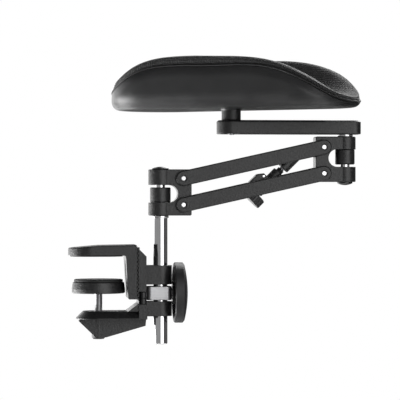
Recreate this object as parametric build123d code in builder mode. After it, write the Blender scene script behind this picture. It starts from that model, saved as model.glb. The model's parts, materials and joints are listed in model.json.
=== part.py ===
"""Desk-clamp forearm rest: a padded trough on a swing arm, carried by a parallelogram lift arm
that swivels on a chrome rod held in a toothed desk clamp.

Frame: millimetres, +Z up, +X along the arm away from the desk.  The origin is on the clamp
screw's axis, in the plane where the upper jaw rests on the desk top.
"""
from build123d import *
from math import atan2, cos, degrees, hypot, radians, sin
import os

os.makedirs("parts", exist_ok=True)

# ---------------------------------------------------------------- driving dimensions
# shared fits
running_gap = 0.06  # radial clearance of a turning or sliding shaft
slip_gap = 0.3  # clearance between pieces that only pass each other
edge_break = 0.8  # bevel that takes the sharpness off a cast or moulded edge
through = 20.0  # deeper than any wall that a hole goes through

# rod and clamp
rod_x = 60.5
rod_radius = 7.0
rod_bottom = -85.8
rod_shoulder = 37.4
journal_radius = 4.6
clamp_half_width = 22.0
jaw_half_width = 25.0
jaw_tip_x = -29.6
jaw_tip_drop = 3.0  # the plate's top slopes down towards its tip
jaw_tip_round = 22.0
jaw_recess_end = 24.4  # where the recess for the rubber pad stops
jaw_leg_x = (25.7, 27.9)  # desk side of the leg, at its root and at its foot
jaw_leg_bottom = -41.2
jaw_top = 11.3
jaw_pad_thickness = 1.2
tooth_face_x = 36.8  # middle of the toothed joint between jaw and bracket
tooth_pitch = 4.0
tooth_depth = 1.6
tooth_gap = 0.7
bracket_top = 7.2
web_right_x = 45.7
web_bevel = 7.0  # slope at the top of the web's outer side
upper_boss = (-27.4, -8.9)  # lower and upper face of each rod boss
lower_boss = (-58.3, -44.1)
boss_radius = 11.3
screw_radius = 4.0  # M8
arm_top = -53.3
arm_tip_bevel = 6.5
flange_bottom = -60.8
flange_end_x = rod_x - 14.0
gusset_start_x = 27.7
gusset_top = -45.4
rib_half_width = 6.5
rib_bottom = -78.8
screw_boss_radius = 6.6
screw_boss_bottom = -80.6
lock_screw_x = 42.6
lock_screw_y = 17.6
lock_screw_radius = 3.4
lock_screw_height = 5.4
lock_screw_neck = 0.8  # thin stretch between the two lock screws of one edge
lock_pocket = (8.2, 9.0)
lock_pocket_bottom = -46.2
disc_radius = 26.0
disc_bottom = -35.8
disc_top = -22.3
disc_pad_thickness = 3.0
wheel_z = -35.6
wheel_radius = 29.6
wheel_left_x = 73.2
wheel_right_x = 87.1
wheel_dome = 3.4
wheel_wall = 4.0
wheel_dish = 5.0  # depth of the hollow behind the wheel
wheel_hub_radius = 11.0
wheel_screw_grip = 10.0  # length of the screw inside the wheel
eye_block_z = (-42.7, -29.3)
eye_block_x = (46.4, 71.2)
eye_block_half_width = 10.5

# lift arm
yoke_half_width = 10.0
bar_half_width = 13.4
bar_inner_half = 11.4
bar_height = 14.6
bar_length = 141.6  # between pivots
bar_angle = 12.6  # above horizontal, at rest
pivot_spacing = 25.8  # between the two bars, vertically
left_pivot_x = rod_x + 21.8
left_pivot_z = 50.1  # lower bar
pin_radius = 2.4
fork_depth = 18.0  # open length of a bar beyond its left pivot
left_yoke_z = (39.7, 84.8)
left_yoke_right_x = rod_x + 30.0
left_knuckle_radius = 11.8
left_notch = (rod_x + 8.2, 61.0)
right_yoke_z = (72.7, 117.2)
right_hinge_x = rod_x + 182.3
right_yoke_left_x = rod_x + 152.1
right_knuckle_radius = 10.6
right_notch = (rod_x + 173.3, 96.1)
notch_radius = 8.6
collar_height = 14.8
left_collar_radius = 10.15
right_collar_radius = 9.65
left_collar = (left_notch[1] - notch_radius + 0.05, left_notch[1] - notch_radius + collar_height)
right_collar = (right_notch[1] + notch_radius - collar_height, right_notch[1] + notch_radius - 0.05)

# adjusting strut between the bars
strut_on_lower = 82.3  # from the left pivot to the strut's pivot, along the lower bar
strut_on_upper = 116.7
strut_pivot_radius = 3.0
strut_sweep = 61.0  # open length of the upper bar before the strut's pivot
block_start = -8.9  # along the strut, from its lower pivot
block_end = 8.5
block_foot = -4.2  # across the strut
block_crest = 13.9
block_shoulder = (3.6, 10.0)  # where its crest ends along the strut, and the height of its far corner
block_half_width = 8.5
block_pin_place = (6.2, 8.2)
block_pin_radius = 1.4
sleeve_end = 20.2
sleeve_radius = 5.8
nut_end = 23.7
nut_radius = 3.9
housing_start = 25.8
housing_radius = 6.2
spindle_start = -12.5
spindle_end = 40.5
spindle_radius = 2.6
knob_start = -19.5
knob_length = 9.0
knob_radius = 11.0

# swing arm and pad
swing_arm_z = (119.6, 133.0)
swing_arm_half_width = 14.4
post_x = rod_x + 69.7
post_radius = 9.45
pad_bottom = 144.1
pad_length = 261.0
pad_width = 100.0
pad_yaw = -32.0  # resting turn of the pad about its post, seen from above
pad_offset = 3.3  # pad centre beyond the post, along the pad
shell_wall = 3.0
shell_round = 8.0
trim_height = 2.0
cushion_rise = 9.0  # cushion crest above the shell's lip, beside the trough
cushion_end_rise = 4.5  # the same at both ends
trough_radius = 36.0
trough_axis_z = 192.5
spigot_radius = 5.0  # part of the post that turns in the swing arm
plate_screw_radius = 2.0
screw_head_radius = 3.8
screw_head_depth = 1.9
pad_stock = 60.0  # more than the height of any piece of the pad

# ---------------------------------------------------------------- derived places
bar_run = bar_length * cos(radians(bar_angle))
bar_rise = bar_length * sin(radians(bar_angle))
right_pivot_x = left_pivot_x + bar_run
right_pivot_z = left_pivot_z + bar_rise


def on_bar(distance, lift):
    """The point at a distance along a bar, from the bar's left pivot, which lies lift above the lower one."""
    run = distance * cos(radians(bar_angle))
    rise = distance * sin(radians(bar_angle))
    return (left_pivot_x + run, left_pivot_z + lift + rise)


strut_foot = on_bar(strut_on_lower, 0)
strut_head = on_bar(strut_on_upper, pivot_spacing)
strut_angle = degrees(atan2(strut_head[1] - strut_foot[1], strut_head[0] - strut_foot[0]))
strut_length = hypot(strut_head[0] - strut_foot[0], strut_head[1] - strut_foot[1])

# upright plane through the middle of the arm: local x is +X, local y is +Z
side_plane = Plane(origin=(0, 0, 0), x_dir=(1, 0, 0), z_dir=(0, -1, 0))


def upright(origin, angle):
    """A plane like side_plane with its origin moved and its local x turned up by an angle."""
    x_dir = (cos(radians(angle)), 0, sin(radians(angle)))
    return Plane(origin=(origin[0], 0, origin[1]), x_dir=x_dir, z_dir=(0, -1, 0))


lower_bar_plane = upright(on_bar(0, 0), bar_angle)
upper_bar_plane = upright(on_bar(0, pivot_spacing), bar_angle)
strut_plane = upright(strut_foot, strut_angle)


def along_strut(distance):
    """A plane square to the strut at a distance from its lower pivot, facing up the strut."""
    direction = (cos(radians(strut_angle)), 0, sin(radians(strut_angle)))
    origin = (strut_foot[0] + distance * direction[0], 0, strut_foot[1] + distance * direction[2])
    return Plane(origin=origin, x_dir=(0, 1, 0), z_dir=direction)


def save(piece, label):
    """Label a finished piece and write its STEP file."""
    piece.part.label = label
    export_step(piece.part, f"parts/{label}.step")


def round_piece(plane, radius, length, bore=0.0, edge=0.0):
    """A cylinder on a plane, with an optional bore and chamfered rims."""
    with BuildPart() as piece:
        with BuildSketch(plane):
            Circle(radius)
            if bore:
                Circle(bore, mode=Mode.SUBTRACT)
        extrude(amount=length)
        if edge:
            rims = piece.edges().filter_by(GeomType.CIRCLE).filter_by(lambda e: e.radius > radius - 0.01)
            chamfer(rims, edge)
    return piece


def dome_rise(radius, dome, distance):
    """How far a spherical dome, of a height over a rim of a radius, rises at a distance from its middle."""
    ball = (radius**2 + dome**2) / (2 * dome)
    return (ball**2 - distance**2) ** 0.5 - ball + dome


# ================================================================ clamp
def tooth_row(face_x, first_z, count, side, half_width):
    """A row of triangular ridges standing on a face, pointing to +X (side 1) or -X (side -1)."""
    with BuildPart(mode=Mode.PRIVATE) as row:
        with BuildSketch(side_plane):
            for index in range(count):
                middle = first_z + index * tooth_pitch
                with BuildLine():
                    Polyline(
                        (face_x - side * tooth_gap, middle - tooth_pitch / 2),
                        (face_x, middle - tooth_pitch / 2),
                        (face_x + side * tooth_depth, middle),
                        (face_x, middle + tooth_pitch / 2),
                        (face_x - side * tooth_gap, middle + tooth_pitch / 2),
                        close=True,
                    )
                make_face()
        extrude(amount=half_width, both=True)
    return row.part


jaw_root_x = tooth_face_x - tooth_depth / 2
bracket_root_x = tooth_face_x + tooth_depth / 2 + tooth_gap
jaw_first_tooth = -39.0
bracket_first_tooth = jaw_first_tooth - tooth_pitch / 2
jaw_bolt_z = -10.0
jaw_travel = 6 * tooth_pitch
bolt_head_radius = 6.3
bolt_head_x = (28.3, 32.4)
bolt_socket_radius = 3.4

jaw_teeth = tooth_row(jaw_root_x, jaw_first_tooth, 12, 1, jaw_half_width - 1)
with BuildPart() as upper_jaw:
    with BuildSketch(side_plane):
        with BuildLine():
            Polyline(
                (jaw_tip_x, jaw_pad_thickness),
                (jaw_recess_end, jaw_pad_thickness),
                (jaw_leg_x[0], 0),
                (jaw_leg_x[1], jaw_leg_bottom + 1),
                (jaw_leg_x[1] + 1, jaw_leg_bottom),
                (jaw_root_x, jaw_leg_bottom),
                (jaw_root_x, jaw_top),
                (0, jaw_top - jaw_tip_drop / 5),
                (jaw_tip_x, jaw_top - jaw_tip_drop),
                close=True,
            )
        make_face()
    extrude(amount=jaw_half_width, both=True)
    # the plate's outer end is rounded in plan
    tip_corners = upper_jaw.edges().filter_by(Axis.Z).sort_by(Axis.X)[:2]
    fillet(tip_corners, jaw_tip_round)
    top_face = upper_jaw.faces().filter_by(lambda f: f.normal_at().Z > 0.9)
    chamfer(top_face.edges().filter_by(lambda e: abs(e.center().Y) > 1), edge_break)
    add(jaw_teeth)
    # slot for the jaw bolt, with a wider pocket for its head
    slot_middle = jaw_bolt_z - jaw_travel / 2
    with BuildSketch(Plane.YZ.offset(jaw_root_x)):
        with Locations((0, slot_middle)):
            SlotCenterToCenter(jaw_travel, 2 * (screw_radius + slip_gap), rotation=90)
    extrude(amount=through, both=True, mode=Mode.SUBTRACT)
    with BuildSketch(Plane.YZ.offset(bolt_head_x[1] + slip_gap)):
        with Locations((0, slot_middle)):
            SlotCenterToCenter(jaw_travel, 2 * (bolt_head_radius + slip_gap), rotation=90)
    extrude(amount=-through, mode=Mode.SUBTRACT)
save(upper_jaw, "upper_jaw")

with BuildPart() as jaw_pad:
    with BuildSketch(Plane.XY):
        with Locations((-2.0, 0)):
            RectangleRounded(51, 46, 19)
    extrude(amount=jaw_pad_thickness)
save(jaw_pad, "jaw_pad")

bracket_teeth = tooth_row(bracket_root_x, bracket_first_tooth, 13, -1, clamp_half_width)
with BuildPart() as clamp_bracket:
    # toothed web
    with BuildSketch(side_plane):
        with BuildLine():
            Polyline(
                (bracket_root_x, bracket_top),
                (bracket_root_x, arm_top - 1),
                (web_right_x, arm_top - 1),
                (web_right_x, bracket_top - web_bevel),
                (web_right_x - web_bevel, bracket_top),
                close=True,
            )
        make_face()
    extrude(amount=clamp_half_width, both=True)
    # lower arm: a flange with a rounded, bevelled end
    with BuildSketch(Plane.XY.offset(flange_bottom)):
        with BuildLine():
            Line((flange_end_x, -clamp_half_width), (0, -clamp_half_width))
            ThreePointArc((0, -clamp_half_width), (-clamp_half_width, 0), (0, clamp_half_width))
            Line((0, clamp_half_width), (flange_end_x, clamp_half_width))
            Line((flange_end_x, clamp_half_width), (flange_end_x, -clamp_half_width))
        make_face()
    extrude(amount=arm_top - flange_bottom)
    arm_rim = clamp_bracket.edges().filter_by(
        lambda e: abs(e.center().Z - arm_top) < 0.1 and e.center().X < 1 and e.length > 20
    )
    chamfer(arm_rim, arm_tip_bevel)
    # gusset between the flange and the web
    with BuildSketch(side_plane):
        Polygon(
            (gusset_start_x, arm_top), (bracket_root_x, gusset_top), (bracket_root_x + 3, arm_top), align=None
        )
    extrude(amount=clamp_half_width - 2, both=True)
    # deep rib under the flange
    with BuildSketch(side_plane):
        with BuildLine():
            Polyline(
                (-19.5, flange_bottom - 2),
                (-3.0, rib_bottom),
                (7.5, rib_bottom),
                (web_right_x, rib_bottom + 11),
                (flange_end_x, flange_bottom + 1),
                (-16, flange_bottom + 1),
                close=True,
            )
        make_face()
    extrude(amount=rib_half_width, both=True)
    # boss for the clamp screw
    with BuildSketch(Plane.XY.offset(screw_boss_bottom)):
        Circle(screw_boss_radius)
    extrude(amount=flange_bottom - screw_boss_bottom)
    boss_foot = clamp_bracket.faces().sort_by(Axis.Z)[0].edges()
    chamfer(boss_foot, 1.4)
    # the two bosses that hold the rod
    for low, high in (upper_boss, lower_boss):
        with BuildSketch(Plane.XY.offset(low)):
            with Locations((rod_x, 0)):
                Circle(boss_radius)
            with Locations(((web_right_x - 2 + rod_x) / 2, 0)):
                Rectangle(rod_x - web_right_x + 2, 2 * boss_radius)
        extrude(amount=high - low)
    add(bracket_teeth)
    # rod bore, clamp screw bore, jaw bolt hole and eye block hole
    with BuildSketch(Plane.XY.offset(lower_boss[0] - 1)):
        with Locations((rod_x, 0)):
            Circle(rod_radius + running_gap)
    extrude(amount=upper_boss[1] - lower_boss[0] + 2, mode=Mode.SUBTRACT)
    with BuildSketch(Plane.XY.offset(screw_boss_bottom - 1)):
        Circle(screw_radius + running_gap)
    extrude(amount=arm_top - screw_boss_bottom + 2, mode=Mode.SUBTRACT)
    with BuildSketch(Plane.YZ.offset(tooth_face_x - 2)):
        with Locations((0, jaw_bolt_z), (0, wheel_z)):
            Circle(screw_radius)
    extrude(amount=through, mode=Mode.SUBTRACT)
    # a pocket at each edge of the web for its lock screws
    with BuildSketch(Plane.XY.offset(lock_pocket_bottom)):
        for side in (-1, 1):
            with Locations((lock_screw_x, side * lock_screw_y)):
                Rectangle(*lock_pocket)
    extrude(amount=2 * lock_screw_height + 2 * lock_screw_neck, mode=Mode.SUBTRACT)
save(clamp_bracket, "clamp_bracket")

lock_screw_steps = [
    (0, lock_screw_radius, lock_screw_height),
    (lock_screw_height, lock_screw_radius - lock_screw_neck, lock_screw_neck),
    (lock_screw_height + lock_screw_neck, lock_screw_radius, lock_screw_height),
]
with BuildPart() as web_lock_screws:
    for side in (-1, 1):
        for step, radius, height in lock_screw_steps:
            with BuildSketch(Plane.XY.offset(lock_pocket_bottom + step)):
                with Locations((lock_screw_x, side * lock_screw_y)):
                    Circle(radius)
            extrude(amount=height)
save(web_lock_screws, "web_lock_screws")

with BuildPart() as jaw_bolt:
    with BuildSketch(Plane.YZ.offset(bolt_head_x[0])):
        with Locations((0, jaw_bolt_z)):
            Circle(bolt_head_radius)
            RegularPolygon(bolt_socket_radius, 6, mode=Mode.SUBTRACT)
    extrude(amount=bolt_head_x[1] - bolt_head_x[0])
    with BuildSketch(Plane.YZ.offset(bolt_head_x[1] - 1.2)):
        with Locations((0, jaw_bolt_z)):
            Circle(screw_radius)
    extrude(amount=web_right_x - slip_gap - bolt_head_x[1] + 1.2)
save(jaw_bolt, "jaw_bolt")

with BuildPart() as rod_eye_block:
    with BuildSketch(Plane.XY.offset(eye_block_z[0])):
        with Locations(((eye_block_x[0] + eye_block_x[1]) / 2, 0)):
            RectangleRounded(eye_block_x[1] - eye_block_x[0], 2 * eye_block_half_width, 4.5)
    extrude(amount=eye_block_z[1] - eye_block_z[0])
    chamfer(rod_eye_block.faces().filter_by(Axis.Z).edges(), 0.6)
    with BuildSketch(Plane.YZ.offset(eye_block_x[0] - 4)):
        with Locations((0, wheel_z)):
            Circle(screw_radius)
    extrude(amount=6)
    with BuildSketch(Plane.XY.offset(eye_block_z[0])):
        with Locations((rod_x, 0)):
            Circle(rod_radius + running_gap)
    extrude(amount=eye_block_z[1] - eye_block_z[0], mode=Mode.SUBTRACT)
    with BuildSketch(Plane.YZ.offset(rod_x + rod_radius)):
        with Locations((0, wheel_z)):
            Circle(screw_radius + running_gap)
    extrude(amount=6, mode=Mode.SUBTRACT)
save(rod_eye_block, "rod_eye_block")

save(
    round_piece(Plane(origin=(eye_block_x[1] + 0.7, 0, wheel_z), z_dir=(1, 0, 0)), 12.0, 1.2,
                bore=screw_radius + slip_gap, edge=0.3),
    "wheel_washer",
)

wheel_dome_radius = wheel_radius - 2.0
with BuildPart() as hand_wheel:
    wheel_face_x = wheel_right_x - wheel_dome
    wheel_back_x = wheel_left_x + 0.4
    with BuildSketch(side_plane):
        with BuildLine():
            Polyline(
                (wheel_face_x, wheel_z + wheel_dome_radius),
                (wheel_face_x - 1.6, wheel_z + wheel_radius),
                (wheel_back_x + 1, wheel_z + wheel_radius),
                (wheel_back_x, wheel_z + wheel_radius - 1),
                (wheel_back_x, wheel_z),
                (wheel_right_x, wheel_z),
            )
            ThreePointArc(
                (wheel_right_x, wheel_z),
                (
                    wheel_face_x + dome_rise(wheel_dome_radius, wheel_dome, wheel_radius / 2),
                    wheel_z + wheel_radius / 2,
                ),
                (wheel_face_x, wheel_z + wheel_dome_radius),
            )
        make_face()
    revolve(axis=Axis((0, 0, wheel_z), (1, 0, 0)))
    # dished inner face with a raised hub
    with BuildSketch(Plane.YZ.offset(wheel_back_x)):
        with Locations((0, wheel_z)):
            Circle(wheel_radius - wheel_wall)
            Circle(wheel_hub_radius, mode=Mode.SUBTRACT)
    extrude(amount=wheel_dish, mode=Mode.SUBTRACT)
    with BuildSketch(Plane.YZ.offset(wheel_left_x)):
        with Locations((0, wheel_z)):
            Circle(wheel_hub_radius - 2)
    extrude(amount=1)
    with BuildSketch(Plane.YZ.offset(wheel_left_x)):
        with Locations((0, wheel_z)):
            Circle(screw_radius)
    extrude(amount=wheel_screw_grip, mode=Mode.SUBTRACT)
save(hand_wheel, "hand_wheel")

save(
    round_piece(Plane(origin=(rod_x + rod_radius + 0.1, 0, wheel_z), z_dir=(1, 0, 0)), screw_radius,
                wheel_left_x + wheel_screw_grip - rod_x - rod_radius - 0.1),
    "wheel_screw",
)

with BuildPart() as pressure_disc:
    with BuildSketch(Plane.XY.offset(disc_bottom)):
        Circle(disc_radius)
    extrude(amount=4)
    with BuildSketch(Plane.XY.offset(disc_bottom + 4)):
        Circle(disc_radius)
    extrude(amount=disc_top - disc_pad_thickness - disc_bottom - 4, taper=8)
    with BuildSketch(Plane.XY.offset(disc_bottom)):
        Circle(screw_radius + running_gap)
    extrude(amount=6, mode=Mode.SUBTRACT)
    chamfer(pressure_disc.faces().sort_by(Axis.Z)[0].outer_wire().edges(), 0.8)
save(pressure_disc, "pressure_disc")
save(
    round_piece(Plane.XY.offset(disc_top - disc_pad_thickness), disc_radius - 2.2, disc_pad_thickness,
                edge=0.6),
    "disc_pad",
)

clamp_screw_bottom = -78.5
with BuildPart() as clamp_screw:
    with BuildSketch(Plane.XY.offset(clamp_screw_bottom)):
        Circle(screw_radius)
    extrude(amount=disc_bottom + 5.6 - clamp_screw_bottom)
    with BuildSketch(Plane.XY.offset(clamp_screw_bottom)):
        RegularPolygon(2.3, 6)
    extrude(amount=5, mode=Mode.SUBTRACT)
save(clamp_screw, "clamp_screw")

# ================================================================ rod and left hinge
with BuildPart() as rod:
    with BuildSketch(Plane.XY.offset(rod_bottom)):
        with Locations((rod_x, 0)):
            Circle(rod_radius)
    extrude(amount=rod_shoulder - rod_bottom)
    chamfer(rod.faces().sort_by(Axis.Z)[0].edges(), 0.8)
    with BuildSketch(Plane.XY.offset(rod_shoulder)):
        with Locations((rod_x, 0)):
            Circle(journal_radius)
    extrude(amount=left_yoke_z[1] - rod_shoulder)
save(rod, "rod")

rod_foot = Plane(origin=(rod_x, 0, 0))
save(
    round_piece(rod_foot.offset(rod_shoulder), 8.2, left_yoke_z[0] - rod_shoulder - 0.05,
                bore=journal_radius, edge=0.4),
    "thrust_washer",
)


def collar(axis_x, span, radius):
    """A split-free shaft collar with a threaded hole for a set screw on its far side."""
    with BuildPart() as ring:
        with BuildSketch(Plane(origin=(axis_x, 0, span[0]))):
            Circle(radius)
            Circle(journal_radius, mode=Mode.SUBTRACT)
        extrude(amount=span[1] - span[0])
        rims = ring.edges().filter_by(GeomType.CIRCLE).filter_by(lambda e: e.radius > radius - 0.1)
        chamfer(rims, edge_break)
        with BuildSketch(Plane(origin=(axis_x, journal_radius - 1, sum(span) / 2), z_dir=(0, 1, 0))):
            Circle(2.0)
        extrude(amount=radius, mode=Mode.SUBTRACT)
    return ring


def set_screw(axis_x, span, radius):
    """The socket set screw that locks a collar to its shaft."""
    with BuildPart() as screw:
        with BuildSketch(Plane(origin=(axis_x, journal_radius, sum(span) / 2), z_dir=(0, 1, 0))):
            Circle(2.0)
        extrude(amount=radius - journal_radius - 0.8)
        with BuildSketch(Plane(origin=(axis_x, radius - 0.8, sum(span) / 2), z_dir=(0, 1, 0))):
            RegularPolygon(1.1, 6)
        extrude(amount=-1.6, mode=Mode.SUBTRACT)
    return screw


save(collar(rod_x, left_collar, left_collar_radius), "left_collar")
save(set_screw(rod_x, left_collar, left_collar_radius), "left_collar_screw")
save(collar(right_hinge_x, right_collar, right_collar_radius), "right_collar")
save(set_screw(right_hinge_x, right_collar, right_collar_radius), "right_collar_screw")


def dome_cap(axis_x, face_z, radius, height, direction):
    """A shallow domed cap on the end of a hinge, bulging up (direction 1) or down (direction -1)."""
    rim_z = face_z + direction * height * 0.4
    dome = height * 0.6
    with BuildPart() as cap:
        with BuildSketch(side_plane):
            with BuildLine():
                Polyline((axis_x, face_z), (axis_x + radius, face_z), (axis_x + radius, rim_z))
                ThreePointArc(
                    (axis_x + radius, rim_z),
                    (axis_x + radius / 2, rim_z + direction * dome_rise(radius, dome, radius / 2)),
                    (axis_x, rim_z + direction * dome),
                )
                Line((axis_x, rim_z + direction * dome), (axis_x, face_z))
            make_face()
        revolve(axis=Axis((axis_x, 0, 0), (0, 0, 1)))
    return cap


save(dome_cap(rod_x, left_yoke_z[1] + 0.05, 8.2, 2.6, 1), "left_cap")
save(dome_cap(right_hinge_x, right_yoke_z[0] - 0.05, 7.5, 3.1, -1), "right_cap")


# ================================================================ yokes
def yoke(axis_x, knuckle_radius, plate_edge_x, span, notch, pivots):
    """A C-shaped yoke: two knuckles round an upright pin, and a plate that carries two bar pivots."""
    outward = 1 if plate_edge_x > axis_x else -1
    with BuildPart() as piece:
        with BuildSketch(Plane.XY.offset(span[0])):
            with Locations((axis_x, 0)):
                Circle(knuckle_radius)
            with Locations(((axis_x + plate_edge_x) / 2, 0)):
                Rectangle(abs(plate_edge_x - axis_x), 2 * yoke_half_width)
        extrude(amount=span[1] - span[0])
        corners = piece.edges().filter_by(Axis.Y)
        corners = corners.sort_by(Axis.X)[-2:] if outward > 0 else corners.sort_by(Axis.X)[:2]
        fillet(corners, 1.5)
        chamfer(piece.faces().filter_by(Axis.Z).edges(), 0.6)
        # the opening for the collar
        with BuildSketch(side_plane):
            with Locations(notch):
                Circle(notch_radius)
            with Locations((notch[0] - outward * 20, notch[1])):
                Rectangle(40, 2 * notch_radius)
        extrude(amount=2 * knuckle_radius, both=True, mode=Mode.SUBTRACT)
        with BuildSketch(Plane.XY.offset(span[0])):
            with Locations((axis_x, 0)):
                Circle(journal_radius + running_gap)
        extrude(amount=span[1] - span[0], mode=Mode.SUBTRACT)
        with BuildSketch(side_plane):
            with Locations(*pivots):
                Circle(pin_radius)
        extrude(amount=yoke_half_width, both=True, mode=Mode.SUBTRACT)
    return piece


def pivot_pins(pivots):
    """The pins of one yoke, with bevelled ends just below the bars' faces."""
    with BuildPart() as pins:
        with BuildSketch(side_plane):
            with Locations(*pivots):
                Circle(pin_radius)
        extrude(amount=bar_half_width - 0.4, both=True)
        chamfer(pins.edges().filter_by(GeomType.CIRCLE), 0.35)
    return pins


left_pivots = [(left_pivot_x, left_pivot_z), (left_pivot_x, left_pivot_z + pivot_spacing)]
right_pivots = [(right_pivot_x, right_pivot_z), (right_pivot_x, right_pivot_z + pivot_spacing)]
save(yoke(rod_x, left_knuckle_radius, left_yoke_right_x, left_yoke_z, left_notch, left_pivots), "left_yoke")
save(
    yoke(right_hinge_x, right_knuckle_radius, right_yoke_left_x, right_yoke_z, right_notch, right_pivots),
    "right_yoke",
)
save(pivot_pins(left_pivots), "left_pivot_pins")
save(pivot_pins(right_pivots), "right_pivot_pins")


# ================================================================ parallel bars
def link_bar(plane, windows, strut_pivot):
    """A forked bar on its own plane: windows are the lengths that are open between its cheeks."""
    with BuildPart() as bar:
        with BuildSketch(plane):
            with Locations((bar_length / 2, 0)):
                SlotCenterToCenter(bar_length, bar_height)
        extrude(amount=bar_half_width, both=True)
        chamfer(bar.faces().filter_by(Axis.Y).edges(), 0.9)
        with BuildSketch(plane):
            for start, end in windows:
                with Locations(((start + end) / 2, 0)):
                    Rectangle(end - start, 2 * bar_height)
        extrude(amount=bar_inner_half, both=True, mode=Mode.SUBTRACT)
        with BuildSketch(plane):
            with Locations((0, 0), (bar_length, 0)):
                Circle(pin_radius + running_gap)
        extrude(amount=bar_half_width, both=True, mode=Mode.SUBTRACT)
        # a shallow ring round each pin's end
        for side in (1, -1):
            with BuildSketch(plane.offset(side * bar_half_width)):
                with Locations((0, 0), (bar_length, 0)):
                    Circle(pin_radius + 0.9)
            extrude(amount=-side * 0.7, mode=Mode.SUBTRACT)
        # blind holes in the cheeks for the strut's trunnions
        with BuildSketch(plane):
            with Locations((strut_pivot, 0)):
                Circle(strut_pivot_radius + running_gap)
        extrude(amount=bar_half_width - 1, both=True, mode=Mode.SUBTRACT)
    return bar


left_fork = (-bar_height, fork_depth)
bar_end = bar_length + bar_height
lower_window = (strut_on_lower - 28, bar_end)
upper_window = (strut_on_upper - strut_sweep, bar_end)
save(link_bar(lower_bar_plane, [left_fork, lower_window], strut_on_lower), "lower_bar")
save(link_bar(upper_bar_plane, [left_fork, upper_window], strut_on_upper), "upper_bar")

# ================================================================ adjusting strut
trunnion_reach = bar_half_width - 1.2

with BuildPart() as strut_block:
    with BuildSketch(strut_plane):
        with BuildLine():
            Polyline(
                (block_start, block_foot),
                (block_end, block_foot),
                (block_end, block_shoulder[1]),
                (block_shoulder[0], block_crest),
                (block_start, block_crest),
                close=True,
            )
        make_face()
    extrude(amount=block_half_width, both=True)
    chamfer(strut_block.faces().filter_by(Axis.Y).edges(), edge_break)
    with BuildSketch(strut_plane):
        Circle(strut_pivot_radius)
    extrude(amount=trunnion_reach, both=True)
    with BuildSketch(along_strut(block_end - 0.5)):
        Circle(sleeve_radius)
    extrude(amount=sleeve_end - block_end + 0.5)
    sleeve_rim = strut_block.edges().filter_by(GeomType.CIRCLE).filter_by(lambda e: e.radius == sleeve_radius)
    chamfer(sleeve_rim, edge_break / 2)
    with BuildSketch(along_strut(block_start - 1)):
        Circle(spindle_radius + running_gap)
    extrude(amount=sleeve_end - block_start + 2, mode=Mode.SUBTRACT)
    with BuildSketch(strut_plane):
        with Locations(block_pin_place):
            Circle(block_pin_radius)
    extrude(amount=block_half_width, both=True, mode=Mode.SUBTRACT)
save(strut_block, "strut_block")

with BuildPart() as block_pin:
    with BuildSketch(strut_plane):
        with Locations(block_pin_place):
            Circle(block_pin_radius)
    extrude(amount=block_half_width + 0.4, both=True)
    chamfer(block_pin.edges().filter_by(GeomType.CIRCLE), 0.25)
save(block_pin, "block_pin")

save(
    round_piece(along_strut(spindle_start), spindle_radius, spindle_end - spindle_start, edge=0.4),
    "strut_spindle",
)

with BuildPart() as lock_nut:
    with BuildSketch(along_strut(sleeve_end + 0.1)):
        RegularPolygon(nut_radius, 6)
        Circle(spindle_radius, mode=Mode.SUBTRACT)
    extrude(amount=nut_end - sleeve_end - 0.1)
save(lock_nut, "lock_nut")

with BuildPart() as adjuster_knob:
    with BuildSketch(along_strut(knob_start)):
        Circle(knob_radius)
    extrude(amount=knob_length)
    chamfer(adjuster_knob.edges().filter_by(GeomType.CIRCLE), edge_break)
    # finger grooves round the rim
    with BuildSketch(along_strut(knob_start)):
        with PolarLocations(knob_radius + 0.35, 20):
            Circle(0.8)
    extrude(amount=knob_length, mode=Mode.SUBTRACT)
    with BuildSketch(along_strut(spindle_start)):
        Circle(spindle_radius)
    extrude(amount=4, mode=Mode.SUBTRACT)
save(adjuster_knob, "adjuster_knob")

housing_end = strut_length + 4.5
with BuildPart() as strut_housing:
    with BuildSketch(along_strut(housing_start)):
        Circle(housing_radius)
    extrude(amount=housing_end - housing_start)
    chamfer(strut_housing.edges().filter_by(GeomType.CIRCLE), 0.6)
    with BuildSketch(strut_plane):
        with Locations((strut_length, 0)):
            Circle(strut_pivot_radius)
    extrude(amount=trunnion_reach, both=True)
    with BuildSketch(along_strut(housing_start)):
        Circle(4.9)
    extrude(amount=7, mode=Mode.SUBTRACT)
    with BuildSketch(along_strut(housing_start)):
        Circle(spindle_radius + 0.9)
    extrude(amount=spindle_end - housing_start + 5.2, mode=Mode.SUBTRACT)
save(strut_housing, "strut_housing")

# ================================================================ right hinge and swing arm
pin_foot = Plane(origin=(right_hinge_x, 0, 0))
save(
    round_piece(pin_foot.offset(right_yoke_z[0]), journal_radius, swing_arm_z[1] - 4 - right_yoke_z[0]),
    "hinge_pin",
)
save(
    round_piece(pin_foot.offset(right_yoke_z[1] + 0.05), 7.85, swing_arm_z[0] - right_yoke_z[1] - 0.05,
                bore=journal_radius, edge=0.3),
    "swing_washer",
)

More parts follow.
